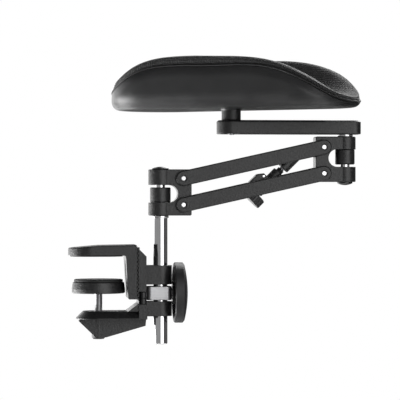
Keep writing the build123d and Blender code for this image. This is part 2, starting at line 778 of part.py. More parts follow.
arm_end = right_hinge_x + 14.8
with BuildPart() as swing_arm:
    with BuildSketch(Plane.XY.offset(swing_arm_z[0])):
        with Locations((post_x, 0)):
            Circle(swing_arm_half_width)
        with Locations(((post_x + arm_end - 8) / 2, 0)):
            Rectangle(arm_end - 8 - post_x, 2 * swing_arm_half_width)
        with Locations((arm_end - 8, 0)):
            RectangleRounded(15.9, 2 * swing_arm_half_width, 7.9)
    extrude(amount=swing_arm_z[1] - swing_arm_z[0])
    chamfer(swing_arm.faces().sort_by(Axis.Z)[-1].edges(), 1.7)
    chamfer(swing_arm.faces().sort_by(Axis.Z)[0].edges(), 0.5)
    with BuildSketch(Plane.XY.offset(swing_arm_z[0])):
        with Locations((right_hinge_x, 0)):
            Circle(journal_radius)
    extrude(amount=swing_arm_z[1] - 4 - swing_arm_z[0], mode=Mode.SUBTRACT)
    with BuildSketch(Plane.XY.offset(swing_arm_z[0])):
        with Locations((post_x, 0)):
            Circle(spigot_radius + running_gap)
    extrude(amount=through, mode=Mode.SUBTRACT)
    with BuildSketch(Plane.XY.offset(swing_arm_z[0])):
        with Locations((post_x, 0)):
            Circle(9)
    extrude(amount=2.3, mode=Mode.SUBTRACT)
save(swing_arm, "swing_arm")

# ================================================================ pad
pad_turn = radians(pad_yaw)
pad_dir = (cos(pad_turn), sin(pad_turn), 0)
pad_across = (-sin(pad_turn), cos(pad_turn), 0)
pad_centre = (post_x + pad_offset * pad_dir[0], pad_offset * pad_dir[1])
pad_side_plane = Plane(
    origin=(pad_centre[0], pad_centre[1], 0), x_dir=pad_dir, z_dir=(-pad_across[0], -pad_across[1], 0)
)
pad_end_plane = Plane(origin=(pad_centre[0], pad_centre[1], 0), x_dir=pad_across, z_dir=pad_dir)


def pad_level(z):
    """A level plane at a height, with its local x along the pad."""
    return Plane(origin=(pad_centre[0], pad_centre[1], z), x_dir=pad_dir, z_dir=(0, 0, 1))


shell_floor = pad_bottom + shell_wall
plate_top = shell_floor + 2.5
post_plane = Plane(origin=(post_x, 0, 0))

with BuildPart() as pad_post:
    with BuildSketch(side_plane):
        with BuildLine():
            Polyline(
                (post_x, swing_arm_z[1] + 0.05), (post_x + post_radius - 0.5, swing_arm_z[1] + 0.05),
                (post_x + post_radius, swing_arm_z[1] + 0.55), (post_x + post_radius, pad_bottom - 1.5),
            )
            ThreePointArc(
                (post_x + post_radius, pad_bottom - 1.5),
                (post_x + post_radius + 0.5, pad_bottom - 0.5),
                (post_x + post_radius + 1.5, pad_bottom),
            )
            Polyline(
                (post_x + post_radius + 1.5, pad_bottom), (post_x + 6, pad_bottom),
                (post_x + 6, plate_top), (post_x, plate_top), (post_x, swing_arm_z[1] + 0.05),
            )
        make_face()
    revolve(axis=Axis((post_x, 0, 0), (0, 0, 1)))
    # spigot that turns in the swing arm
    with BuildSketch(post_plane.offset(swing_arm_z[0] + 2.1)):
        Circle(spigot_radius)
    extrude(amount=swing_arm_z[1] - swing_arm_z[0] - 2)
    with BuildSketch(post_plane.offset(swing_arm_z[0] + 2.1)):
        Circle(2)
    extrude(amount=9, mode=Mode.SUBTRACT)
save(pad_post, "pad_post")
save(round_piece(post_plane.offset(swing_arm_z[0] + 0.3), 8.6, 1.8, bore=2, edge=0.3), "post_washer")
with BuildPart() as post_screw:
    with BuildSketch(post_plane.offset(swing_arm_z[0] - 0.8)):
        Circle(2.75)
    extrude(amount=1.1)
    with BuildSketch(post_plane.offset(swing_arm_z[0] + 0.3)):
        Circle(2)
    extrude(amount=10)
save(post_screw, "post_screw")

screw_grid = (74.0, 34.0)
with BuildPart() as pad_plate:
    with BuildSketch(pad_level(shell_floor)):
        RectangleRounded(96, 52, 6)
        with GridLocations(screw_grid[0], screw_grid[1], 2, 2):
            Circle(plate_screw_radius, mode=Mode.SUBTRACT)
        with Locations((-pad_offset, 0)):
            Circle(6, mode=Mode.SUBTRACT)
    extrude(amount=plate_top - shell_floor)
save(pad_plate, "pad_plate")

with BuildPart() as plate_screws:
    with BuildSketch(pad_level(pad_bottom)):
        with GridLocations(screw_grid[0], screw_grid[1], 2, 2):
            Circle(screw_head_radius)
    extrude(amount=screw_head_depth, taper=43)
    with BuildSketch(pad_level(pad_bottom)):
        with GridLocations(screw_grid[0], screw_grid[1], 2, 2):
            Circle(plate_screw_radius)
    extrude(amount=plate_top - pad_bottom)
    with BuildSketch(pad_level(pad_bottom)):
        with GridLocations(screw_grid[0], screw_grid[1], 2, 2):
            RegularPolygon(1.4, 6)
    extrude(amount=1.4, mode=Mode.SUBTRACT)
save(plate_screws, "plate_screws")

# the lip seen from the side, from the elbow end to the low wrist end: (distance from the middle, height)
lip_outline = [
    (-pad_length / 2, 156.0),
    (-122, 159.6),
    (-105, 167.6),
    (-80, 179.2),
    (-54, 183.4),
    (0, 183.0),
    (56, 180.7),
    (82, 173.2),
    (106, 160.2),
    (122, 150.0),
    (pad_length / 2, 147.2),
]


def lip_points(rise, end_rise):
    """The lip curve from end to end, raised by an amount that eases to end_rise at both ends."""
    raised = []
    for distance, height in lip_outline:
        share = (distance / (pad_length / 2)) ** 4
        raised.append((distance, height + rise + (end_rise - rise) * share))
    return raised


def under_lip(rise, end_rise):
    """The area under the raised lip curve, on the pad's side plane, reaching below the pad."""
    floor_z = pad_bottom - 5
    with BuildSketch(pad_side_plane, mode=Mode.PRIVATE) as area:
        with BuildLine():
            curve = Spline(*lip_points(rise, end_rise))
            beyond = pad_length / 2 + 5
            Polyline(
                curve @ 1, (beyond, (curve @ 1).Y), (beyond, floor_z),
                (-beyond, floor_z), (-beyond, (curve @ 0).Y), curve @ 0,
            )
        make_face()
    return area.sketch


with BuildPart() as armrest_shell:
    with BuildSketch(pad_level(pad_bottom)):
        SlotOverall(pad_length, pad_width)
    extrude(amount=pad_stock)
    fillet(armrest_shell.faces().sort_by(Axis.Z)[0].edges(), shell_round)
    with BuildSketch(pad_level(shell_floor)):
        SlotOverall(pad_length - 2 * shell_wall, pad_width - 2 * shell_wall)
    extrude(amount=pad_stock, mode=Mode.SUBTRACT)
    extrude(under_lip(0, 0), amount=pad_width, both=True, mode=Mode.INTERSECT)
    with BuildSketch(pad_level(pad_bottom)):
        with Locations((-pad_offset, 0)):
            Circle(6)
        with GridLocations(screw_grid[0], screw_grid[1], 2, 2):
            Circle(plate_screw_radius)
    extrude(amount=shell_wall, mode=Mode.SUBTRACT)
    with BuildSketch(pad_level(pad_bottom)):
        with GridLocations(screw_grid[0], screw_grid[1], 2, 2):
            Circle(screw_head_radius)
    extrude(amount=screw_head_depth, taper=43, mode=Mode.SUBTRACT)
save(armrest_shell, "armrest_shell")

with BuildPart() as rim_trim:
    with BuildSketch(pad_level(pad_bottom)):
        SlotOverall(pad_length, pad_width)
        SlotOverall(pad_length - 2 * shell_wall, pad_width - 2 * shell_wall, mode=Mode.SUBTRACT)
    extrude(amount=pad_stock)
    extrude(under_lip(trim_height, trim_height), amount=pad_width, both=True, mode=Mode.INTERSECT)
    extrude(under_lip(0, 0), amount=pad_width, both=True, mode=Mode.SUBTRACT)
save(rim_trim, "rim_trim")

cushion_inset = shell_wall + slip_gap
with BuildPart() as cushion:
    with BuildSketch(pad_level(plate_top + slip_gap)):
        SlotOverall(pad_length - 2 * cushion_inset, pad_width - 2 * cushion_inset)
    extrude(amount=pad_stock)
    extrude(under_lip(cushion_rise, cushion_end_rise), amount=pad_width, both=True, mode=Mode.INTERSECT)
    with BuildSketch(pad_end_plane):
        with Locations((0, trough_axis_z)):
            Circle(trough_radius)
        with Locations((0, trough_axis_z + 20)):
            Rectangle(2 * trough_radius, 40)
    extrude(amount=pad_length, both=True, mode=Mode.SUBTRACT)
save(cushion, "cushion")
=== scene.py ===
"""Looks for the desk-clamp forearm rest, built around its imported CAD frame.  Lengths are in metres."""

import json
import math

import bmesh
import bpy
import numpy as np
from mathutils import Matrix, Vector
from mathutils.bvhtree import BVHTree


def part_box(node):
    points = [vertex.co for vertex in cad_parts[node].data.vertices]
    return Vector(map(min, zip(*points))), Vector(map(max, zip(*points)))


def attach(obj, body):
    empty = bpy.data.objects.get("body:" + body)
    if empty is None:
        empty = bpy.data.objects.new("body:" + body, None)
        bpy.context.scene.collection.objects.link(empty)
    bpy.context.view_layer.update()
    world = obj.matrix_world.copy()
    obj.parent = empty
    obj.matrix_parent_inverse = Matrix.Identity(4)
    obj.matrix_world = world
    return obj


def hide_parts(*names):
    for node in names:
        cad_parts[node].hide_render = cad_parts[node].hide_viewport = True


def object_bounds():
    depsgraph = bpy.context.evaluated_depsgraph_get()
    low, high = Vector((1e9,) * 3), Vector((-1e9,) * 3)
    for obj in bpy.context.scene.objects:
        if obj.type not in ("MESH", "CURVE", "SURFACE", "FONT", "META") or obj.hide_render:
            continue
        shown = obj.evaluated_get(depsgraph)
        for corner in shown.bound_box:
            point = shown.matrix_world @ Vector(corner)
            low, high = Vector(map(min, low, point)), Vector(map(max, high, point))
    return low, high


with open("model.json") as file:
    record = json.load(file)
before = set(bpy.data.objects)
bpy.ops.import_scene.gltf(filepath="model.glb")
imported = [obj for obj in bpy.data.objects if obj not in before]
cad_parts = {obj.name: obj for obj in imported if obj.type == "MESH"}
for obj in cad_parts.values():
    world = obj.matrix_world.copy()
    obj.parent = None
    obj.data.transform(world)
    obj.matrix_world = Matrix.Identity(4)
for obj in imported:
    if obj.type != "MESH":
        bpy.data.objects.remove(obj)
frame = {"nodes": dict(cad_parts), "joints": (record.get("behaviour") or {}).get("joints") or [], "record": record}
cad_low, cad_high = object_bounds()
MM = 0.001
EDGE_SOFT = 0.8 * MM  # rounding of the castings' edges under their coat
PAD_YAW = math.radians(-32)  # resting turn of the pad, seen from above


# ------------------------------------------------------------------ places taken from the frame
def middle(node):
    """The centre of a CAD node's box."""
    low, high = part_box(node)
    return (low + high) / 2


def joint(name):
    """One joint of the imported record."""
    return next(j for j in frame["joints"] if j["name"] == name)


def clamped(share):
    """A share held between 0 and 1."""
    return max(0.0, min(1.0, share))


# ------------------------------------------------------------------ material building blocks
MIX_A, MIX_B, MIX_RESULT = 6, 7, 2  # the colour sockets of a Mix node
WEAR_START, WEAR_FULL = 0.995, 0.93  # how alike the rounded and the true normal are
WEAR_REACH = 0.5 * MM  # how far from an edge the coat is rubbed


class Room:
    """A node tree being built: short calls that each add one node and return its output."""

    def __init__(self, tree):
        self.tree = tree

    def wire(self, value, socket):
        """Feed a socket from another node's output, or set its plain value."""
        if isinstance(value, bpy.types.NodeSocket):
            self.tree.links.new(value, socket)
        else:
            socket.default_value = value

    def add(self, kind, inputs=(), **settings):
        """A new node with its settings and its inputs."""
        node = self.tree.nodes.new(kind)
        for key, value in settings.items():
            setattr(node, key, value)
        for key, value in dict(inputs).items():
            self.wire(value, node.inputs[key])
        return node

    def fit(self, value, low, high, to_low=0.0, to_high=1.0):
        """A value spread from one range to another, and held inside it."""
        node = self.add(
            "ShaderNodeMapRange",
            {"Value": value, "From Min": low, "From Max": high, "To Min": to_low, "To Max": to_high},
        )
        return node.outputs["Result"]

    def maths(self, operation, a, b=0.0, c=0.0):
        """One step of arithmetic."""
        return self.add("ShaderNodeMath", {0: a, 1: b, 2: c}, operation=operation).outputs["Value"]


class Shade(Room):
    """A node material round one Principled shader."""

    def __init__(self, name, **values):
        self.mat = bpy.data.materials.new(name)
        self.mat.use_nodes = True
        super().__init__(self.mat.node_tree)
        self.bsdf = next(n for n in self.tree.nodes if n.type == "BSDF_PRINCIPLED")
        self.place = self.add("ShaderNodeTexCoord").outputs["Object"]
        for socket, value in values.items():
            self.bsdf.inputs[socket.replace("_", " ")].default_value = value

    def stretch(self, scale):
        """Object coordinates scaled by a different amount along each axis."""
        return self.add("ShaderNodeMapping", {"Vector": self.place, "Scale": scale}).outputs["Vector"]

    def noise(self, scale, detail=3.0, rough=0.55, place=None):
        """Cloudy noise, with its scale in cycles to the metre."""
        node = self.add(
            "ShaderNodeTexNoise",
            {"Vector": place or self.place, "Scale": scale, "Detail": detail, "Roughness": rough},
        )
        return node.outputs["Fac"]

    def mix(self, share, a, b):
        """One colour turning into another."""
        node = self.add("ShaderNodeMix", data_type="RGBA")
        self.wire(share, node.inputs["Factor"])
        for value, socket in ((a, node.inputs[MIX_A]), (b, node.inputs[MIX_B])):
            self.wire(value if isinstance(value, bpy.types.NodeSocket) else (*value, 1.0), socket)
        return node.outputs[MIX_RESULT]

    def edge_wear(self, radius):
        """High on sharp outer edges: where the rounded normal leaves the true one."""
        true_normal = self.add("ShaderNodeNewGeometry").outputs["Normal"]
        soft_normal = self.add("ShaderNodeBevel", {"Radius": radius}, samples=4).outputs["Normal"]
        alike = self.add("ShaderNodeVectorMath", {0: true_normal, 1: soft_normal}, operation="DOT_PRODUCT")
        return self.fit(alike.outputs["Value"], WEAR_START, WEAR_FULL)

    def bump(self, height, distance, strength=1.0, normal=None):
        """The surface normal tilted by a height pattern, over another normal if one is given."""
        inputs = {"Height": height, "Distance": distance, "Strength": strength}
        if normal is not None:
            inputs["Normal"] = normal
        return self.add("ShaderNodeBump", inputs).outputs["Normal"]

    def soft_edges(self, radius):
        """The surface normal with sharp edges rounded over."""
        return self.add("ShaderNodeBevel", {"Radius": radius}, samples=6).outputs["Normal"]

    def finish(self, colour, roughness=None, normal=None):
        """Feed the shader and return the material."""
        for socket, value in (("Base Color", colour), ("Roughness", roughness), ("Normal", normal)):
            if value is not None:
                self.tree.links.new(value, self.bsdf.inputs[socket])
        return self.mat


def powder_coat(name, dark, light, grain=0.00022, roughness=(0.3, 0.42)):
    """Fine-grained black coating on cast metal, polished a little bright along its edges."""
    s = Shade(name)
    fine = s.noise(950, detail=4, rough=0.6)
    coarse = s.noise(520, detail=3, rough=0.6)
    cloud = s.noise(28, detail=2)
    grains = s.maths("MULTIPLY_ADD", fine, 0.5, s.maths("MULTIPLY", coarse, 0.5))
    tone = s.mix(s.fit(grains, 0.36, 0.64), dark, light)
    tone = s.mix(s.fit(cloud, 0.35, 0.7, 0.0, 0.35), tone, dark)
    patches = s.fit(s.noise(180, detail=3), 0.48, 0.66)
    wear = s.maths("MULTIPLY", s.edge_wear(WEAR_REACH), patches)
    worn = tuple(min(1.0, c * 2.6 + 0.01) for c in light)
    tone = s.mix(s.maths("MULTIPLY", wear, 0.3), tone, worn)
    height = s.maths("ADD", s.maths("MULTIPLY", fine, 0.9), coarse)
    normal = s.bump(height, grain, 0.9, s.soft_edges(EDGE_SOFT))
    return s.finish(tone, s.fit(coarse, 0.3, 0.7, *roughness), normal)


def moulded(name, dark, light, grain, roughness, scale=900, round_over=0.0004, gloss=0.5):
    """Moulded plastic with an even spark-eroded texture."""
    s = Shade(name, Specular_IOR_Level=gloss)
    pits = s.noise(scale, detail=2, rough=0.5)
    cloud = s.noise(16, detail=3)
    tone = s.mix(s.fit(cloud, 0.3, 0.7), dark, light)
    tone = s.mix(s.fit(pits, 0.35, 0.65, 0.0, 0.3), tone, light)
    normal = s.bump(pits, grain, 0.6, s.soft_edges(round_over))
    return s.finish(tone, s.fit(s.noise(70, detail=3), 0.3, 0.7, *roughness), normal)


def bare_metal(name, colour, roughness, lines=None, grain=0.00002, round_over=0.0003):
    """Bright metal with fine marks, which lines draws out along one direction."""
    s = Shade(name, Metallic=1.0)
    place = s.stretch(lines) if lines else s.place
    marks = s.noise(1.0 if lines else 900, detail=4, rough=0.6, place=place)
    haze = s.noise(35, detail=3)
    dull = tuple(c * 0.8 for c in colour)
    tone = s.mix(s.fit(haze, 0.35, 0.7, 0.0, 0.5), colour, dull)
    tone = s.mix(s.fit(marks, 0.35, 0.65, 0.0, 0.35), tone, dull)
    normal = s.bump(marks, grain, 0.7, s.soft_edges(round_over))
    return s.finish(tone, s.fit(marks, 0.3, 0.7, *roughness), normal)


def rubber(name, dark, light, grain=0.00008):
    """Matt rubber or thread with a little dust on it."""
    s = Shade(name)
    fine = s.noise(1100, detail=3)
    dust = s.noise(45, detail=4)
    tone = s.mix(s.fit(dust, 0.45, 0.75, 0.0, 0.7), dark, light)
    normal = s.bump(fine, grain, 0.7, s.soft_edges(0.0004))
    return s.finish(tone, s.fit(fine, 0.3, 0.7, 0.6, 0.78), normal)


cast_black = powder_coat("cast_black", dark=(0.002, 0.002, 0.0022), light=(0.026, 0.0262, 0.027))
black_oxide = powder_coat(
    "black_oxide", dark=(0.005, 0.005, 0.0055), light=(0.014, 0.014, 0.015), grain=0.00006
)
chrome = bare_metal("chrome", (0.8, 0.8, 0.81), (0.05, 0.11), lines=(900, 900, 30), grain=0.000004)
brushed = bare_metal("brushed_block", (0.5, 0.5, 0.51), (0.3, 0.5), lines=(60, 60, 2200), grain=0.00006)
zinc = bare_metal("zinc_steel", (0.5, 0.5, 0.51), (0.28, 0.42))
polished = bare_metal("polished_steel", (0.86, 0.86, 0.87), (0.16, 0.26), round_over=0.0009)
wheel_plastic = moulded(
    "wheel_plastic", dark=(0.005, 0.005, 0.0055), light=(0.013, 0.013, 0.014), grain=0.00016,
    roughness=(0.42, 0.56),
)
knob_plastic = moulded(
    "knob_plastic", dark=(0.006, 0.006, 0.0065), light=(0.014, 0.014, 0.015), grain=0.00012,
    roughness=(0.34, 0.48),
)
cap_plastic = moulded(
    "cap_plastic", dark=(0.006, 0.006, 0.0065), light=(0.012, 0.012, 0.013), grain=0.00004,
    roughness=(0.22, 0.34),
)
shell_plastic = moulded(
    "shell_plastic", dark=(0.009, 0.0091, 0.0096), light=(0.017, 0.0172, 0.018), grain=0.0001,
    roughness=(0.28, 0.38), scale=1300, round_over=0.014, gloss=0.7,
)
rubber_pad = rubber("rubber_pad", dark=(0.006, 0.006, 0.006), light=(0.02, 0.02, 0.0195))
trim_rubber = rubber(
    "trim_rubber", dark=(0.007, 0.007, 0.0075), light=(0.016, 0.016, 0.017), grain=0.00003
)


def mesh_cloth(name):
    """Dark spacer mesh: a net of small holes over foam, with finer threads between them."""
    s = Shade(name, Sheen_Weight=0.2, Sheen_Roughness=0.35)
    turned = s.add(
        "ShaderNodeMapping",
        {"Vector": s.place, "Rotation": (0, 0, -PAD_YAW), "Scale": (1, 1.25, 1)},
    ).outputs["Vector"]
    cells = s.add(
        "ShaderNodeTexVoronoi",
        {"Vector": turned, "Scale": 500, "Randomness": 0.2},
        feature="F1",
    ).outputs["Distance"]
    ribs = s.add(
        "ShaderNodeTexWave",
        {"Vector": turned, "Scale": 130, "Distortion": 1.2, "Detail": 2},
        bands_direction="X",
    ).outputs["Fac"]
    fuzz = s.noise(2600, detail=3)
    cloud = s.noise(30, detail=3)
    yarn = s.fit(cells, 0.18, 0.62)
    tone = s.mix(yarn, (0.0015, 0.0015, 0.0017), (0.026, 0.0262, 0.027))
    tone = s.mix(s.maths("MULTIPLY", ribs, 0.35), tone, (0.03, 0.0302, 0.031))
    tone = s.mix(s.fit(cloud, 0.35, 0.7, 0.0, 0.35), tone, (0.006, 0.006, 0.0063))
    threads = s.maths("ADD", s.maths("MULTIPLY", ribs, 0.5), s.maths("MULTIPLY", fuzz, 0.3))
    height = s.maths("ADD", yarn, threads)
    return s.finish(tone, s.fit(fuzz, 0.3, 0.7, 0.62, 0.85), s.bump(height, 0.0006, 1.0))


fabric = mesh_cloth("mesh_fabric")
thread = rubber("sewing_thread", dark=(0.02, 0.02, 0.021), light=(0.05, 0.05, 0.052), grain=0.0001)

SLOT_MATERIALS = {
    "cast_black": cast_black, "chrome": chrome, "brushed_block": brushed, "zinc_steel": zinc,
    "polished_steel": polished, "black_oxide": black_oxide, "wheel_plastic": wheel_plastic,
    "knob_plastic": knob_plastic, "cap_plastic": cap_plastic, "rubber_pad": rubber_pad,
    "trim_rubber": trim_rubber, "shell_plastic": shell_plastic,
}
for part in frame["record"]["subparts"]:
    if part["material_slot"] in SLOT_MATERIALS:
        node = frame["nodes"][part["node"]]
        node.data.materials.clear()
        node.data.materials.append(SLOT_MATERIALS[part["material_slot"]])

# ------------------------------------------------------------------ camera, light and floor
VIEW_DISTANCE = 2.1
VIEW_TURN = math.radians(-5)
FIELD_WIDTH = 0.392  # width of the view at the rod
SENSOR_WIDTH = 36
look_at = Vector((0.0995, 0, 0.0549))
back = Vector((math.sin(VIEW_TURN), -math.cos(VIEW_TURN), 0))
camera = bpy.data.objects.new("camera", bpy.data.cameras.new("camera"))
camera.data.sensor_width = SENSOR_WIDTH
camera.data.lens = SENSOR_WIDTH * VIEW_DISTANCE / FIELD_WIDTH
camera.data.clip_end = 20
camera.location = look_at + back * VIEW_DISTANCE
camera.rotation_mode = "QUATERNION"
camera.rotation_quaternion = (-back).to_track_quat("-Z", "Y")
bpy.context.collection.objects.link(camera)
bpy.context.scene.camera = camera

world = bpy.data.worlds.new("studio")
world.use_nodes = True
bpy.context.scene.world = world
ROOM_DARK = 0.1  # brightness between the bands
ROOM_BANDS = (  # middle, half width and soft edge in degrees, and brightness
    (27, 20, 7, 2.1),  # pale wall in front and a little to the right
    (-60, 50, 10, 0.22),  # grey wall on the left
    (-150, 30, 8, 1.9),  # white backdrop, behind and to the left
)
ROOM_LEVEL = (0.3, 0.6)  # steepness, up or down, where the walls start to darken and where they end
ROOM_ENDS = 0.12  # share of the walls' light that floor and ceiling have


def studio_walls(tree):
    """Light from the room: bands of pale and dark wall round the object, by compass direction.

    Directions are degrees from the front (-Y), positive towards +X.
    """
    background = tree.nodes["Background"]
    out = next(n for n in tree.nodes if n.type == "OUTPUT_WORLD")
    room = Room(tree)
    sight = room.add("ShaderNodeTexCoord").outputs["Generated"]
    axes = room.add("ShaderNodeSeparateXYZ", {"Vector": sight}).outputs
    turn = room.maths("ARCTAN2", axes["X"], room.maths("MULTIPLY", axes["Y"], -1.0))
    tone = ROOM_DARK
    for middle_turn, half, soft, strength in ROOM_BANDS:
        off = room.maths("ABSOLUTE", room.maths("SUBTRACT", turn, math.radians(middle_turn)))
        band = room.fit(off, math.radians(half), math.radians(half + soft), strength, 0.0)
        tone = room.maths("ADD", tone, band)
    level = room.maths("ABSOLUTE", axes["Z"])
    tone = room.maths("MULTIPLY", tone, room.fit(level, *ROOM_LEVEL, 1.0, ROOM_ENDS))
    background.inputs["Color"].default_value = (1, 1, 1, 1)
    room.wire(tone, background.inputs["Strength"])
    plain = room.add("ShaderNodeBackground", {"Color": (1, 1, 1, 1), "Strength": 1.0}).outputs["Background"]
    seen = room.add("ShaderNodeLightPath").outputs["Is Camera Ray"]
    both = room.add("ShaderNodeMixShader", {0: seen, 1: background.outputs["Background"], 2: plain})
    tree.links.new(both.outputs["Shader"], out.inputs["Surface"])


studio_walls(world.node_tree)
bpy.context.scene.view_settings.view_transform = "Standard"


def area_light(name, place, target, side, watts):
    """A square light that faces a point and doesn't show in the picture."""
    lamp = bpy.data.lights.new(name, "AREA")
    lamp.shape = "RECTANGLE"
    lamp.size = lamp.size_y = side
    lamp.energy = watts
    holder = bpy.data.objects.new(name, lamp)
    holder.location = place
    holder.rotation_mode = "QUATERNION"
    holder.rotation_quaternion = (Vector(place) - Vector(target)).to_track_quat("Z", "Y")
    holder.visible_camera = False
    bpy.context.collection.objects.link(holder)


area_light("key", (0.4, -1.4, 0.9), (0.1, 0, 0.08), side=0.9, watts=3)
area_light("crest", (0.7, 1.05, 1.15), (0.2, 0, 0.16), side=1.2, watts=32)
area_light("desk_glow", (-0.75, 0.3, -0.5), (0.03, 0.05, 0.15), side=1.0, watts=34)


def shade_smooth(mesh):
    """Shade every face of a mesh as part of one curved surface."""
    for face in mesh.polygons:
        face.use_smooth = True


def mesh_piece(name, vertices, faces, material):
    """A new mesh object, in the frame's coordinates."""
    mesh = bpy.data.meshes.new(name)
    mesh.from_pydata([tuple(v) for v in vertices], [], faces)
    mesh.validate()
    piece = bpy.data.objects.new(name, mesh)
    bpy.context.collection.objects.link(piece)
    mesh.materials.append(material)
    shade_smooth(mesh)
    return piece


FLOOR_RADIUS = 0.7
FLOOR_DROP = 0.40  # below the lowest point of the object, which hangs from a desk's edge
FLOOR_SIDES = 96
floor_z = cad_low.z - FLOOR_DROP
floor_rim = [
    (middle("pad_post").x + FLOOR_RADIUS * math.cos(a), FLOOR_RADIUS * math.sin(a), floor_z)
    for a in np.linspace(0, 2 * math.pi, FLOOR_SIDES, endpoint=False)
]
floor_paint = Shade("floor_paint", Roughness=0.7)
floor_tone = floor_paint.mix(floor_paint.noise(3, detail=3), (0.8, 0.8, 0.8), (0.86, 0.86, 0.855))
floor = mesh_piece("floor", floor_rim, [list(range(len(floor_rim)))], floor_paint.finish(floor_tone))

# ------------------------------------------------------------------ the pad's own frame
SHELL_WALL = 3 * MM
shell_low, shell_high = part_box("armrest_shell")
shell_span = shell_high - shell_low
pad_run = (shell_span.x - shell_span.y) / (2 * (math.cos(PAD_YAW) - abs(math.sin(PAD_YAW))))
pad_radius = shell_span.x / 2 - pad_run * math.cos(PAD_YAW)
pad_along = Vector((math.cos(PAD_YAW), math.sin(PAD_YAW), 0))
pad_across = Vector((-math.sin(PAD_YAW), math.cos(PAD_YAW), 0))
pad_middle = middle("armrest_shell")
pad_floor = shell_low.z + SHELL_WALL


def pad_point(along, across, height):
    """A point from its distances along and across the pad, and its height."""
    place = pad_middle + pad_along * along + pad_across * across
    place.z = height
    return place


def rim_stations(straight=54, arc=50):
    """Places round the pad's stadium outline.

    Each is a distance along the pad's middle line and an outward direction in the pad's own axes.
    """
    half = [(pad_run, math.pi / 2 - math.pi * (i + 0.5) / arc) for i in range(arc)]
    half += [(pad_run * (1 - 2 * (i + 0.5) / straight), -math.pi / 2) for i in range(straight)]
    places = [(along, math.cos(turn), math.sin(turn)) for along, turn in half]
    return places + [(-along, -out_x, -out_y) for along, out_x, out_y in places]


def inward(station, inset):
    """Distances along and across the pad at a station, some way in from the shell's outer face."""
    along, out_x, out_y = station
    reach = pad_radius - inset
    return along + out_x * reach, out_y * reach


def at_station(station, inset, height):
    """The point at a station, some way in from the shell's outer face."""
    return pad_point(*inward(station, inset), height)


trim_mesh = frame["nodes"]["rim_trim"].data
trim_tree = BVHTree.FromPolygons(
    [v.co for v in trim_mesh.vertices], [list(f.vertices) for f in trim_mesh.polygons]
)
stations = rim_stations()
lip_top = []  # height of the lip's top at each station
for station in stations:
    above = at_station(station, SHELL_WALL / 2, shell_high.z + 100 * MM)
    lip_top.append(trim_tree.ray_cast(above, Vector((0, 0, -1)))[0].z)
rim_along = np.array([inward(station, 0)[0] for station in stations])
rim_order = np.argsort(rim_along)
rim_along, rim_height = rim_along[rim_order], np.array(lip_top)[rim_order]


def lip_height(along):
    """Height of the lip's top at a distance along the pad: it is lower at the wrist end."""
    return float(np.interp(along, rim_along, rim_height))


def ring_mesh(name, rings, material, closed_section=False, marks=()):
    """A surface through rings of points, all with the same count.  The first and last may fold flat.

    Marks gives names to single rings, which become vertex groups.
    """
    count = len(rings[0])
    faces = []
    last = len(rings) if closed_section else len(rings) - 1
    for j in range(last):
        k = (j + 1) % len(rings)
        for i in range(count):
            n = (i + 1) % count
            faces.append((j * count + i, j * count + n, k * count + n, k * count + i))
    piece = mesh_piece(name, [v for ring in rings for v in ring], faces, material)
    for mark, row in dict(marks).items():
        piece.vertex_groups.new(name=mark).add(range(row * count, (row + 1) * count), 1.0, "REPLACE")
    weld(piece)
    return piece


def weld(piece, gap=0.01 * MM):
    """Join points that coincide and turn every face outwards."""
    bm = bmesh.new()
    bm.from_mesh(piece.data)
    bmesh.ops.remove_doubles(bm, verts=bm.verts, dist=gap)
    bmesh.ops.dissolve_degenerate(bm, edges=bm.edges, dist=gap)
    bmesh.ops.recalc_face_normals(bm, faces=bm.faces)
    bm.to_mesh(piece.data)
    bm.free()
    shade_smooth(piece.data)


# ------------------------------------------------------------------ rubber bead along the shell's lip
BEAD_HALF = (1.75 * MM, 0.95 * MM)  # across the lip, and up
BEAD_DROP = 0.75 * MM  # its middle below the trim's top
BEAD_SIDES = 14


def lip_bead():
    """A closed oval bead that follows the lip."""
    rings = [[] for _ in range(BEAD_SIDES)]
    lip = [at_station(station, SHELL_WALL / 2, top) for station, top in zip(stations, lip_top)]
    for i, station in enumerate(stations):
        here = at_station(station, SHELL_WALL / 2, lip_top[i] - BEAD_DROP)
        ahead = lip[(i + 1) % len(lip)] - lip[i - 1]
        outward = pad_along * station[1] + pad_across * station[2]
        up = outward.cross(ahead).normalized()
        up = up if up.z > 0 else -up
        for k in range(BEAD_SIDES):
            turn = 2 * math.pi * k / BEAD_SIDES
            out, rise = BEAD_HALF[0] * math.cos(turn), BEAD_HALF[1] * math.sin(turn)
            rings[k].append(here + outward * out + up * rise)
    bead = ring_mesh("lip_bead", rings, trim_rubber, closed_section=True)
    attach(bead, "pad")
    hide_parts("rim_trim")


lip_bead()

# ------------------------------------------------------------------ cushion
TROUGH_RADIUS = 36 * MM
TROUGH_AXIS = 48.4 * MM  # above the shell's underside
TROUGH_STEEP = 0.955  # share of the radius where the trough's side goes on as a straight slope
# Rise of the cushion's crest above the lip, in millimetres, at places from elbow end to wrist end.
CREST_ALONG = (-131, -94, -57, -20, 0, 17, 35, 54, 72, 81, 97, 116, 131)
CREST_NEAR = (4.3, 6.8, 8.3, 9.1, 8.7, 8.1, 7.2, 6.2, 5.4, 4.8, 3.9, 2.6, 1.8)
CREST_FAR = (4.3, 6.8, 8.3, 8.9, 8.6, 8.2, 7.9, 7.8, 8.2, 8.5, 8.8, 8.6, 7.4)
CREST_BLEND = 8 * MM  # softness of the crest between side and trough
ROLL_DEPTH = 5.5 * MM  # how far in the rounded edge reaches
ROLL_FOOT = 0.4  # share of the crest's rise where the rounded edge starts
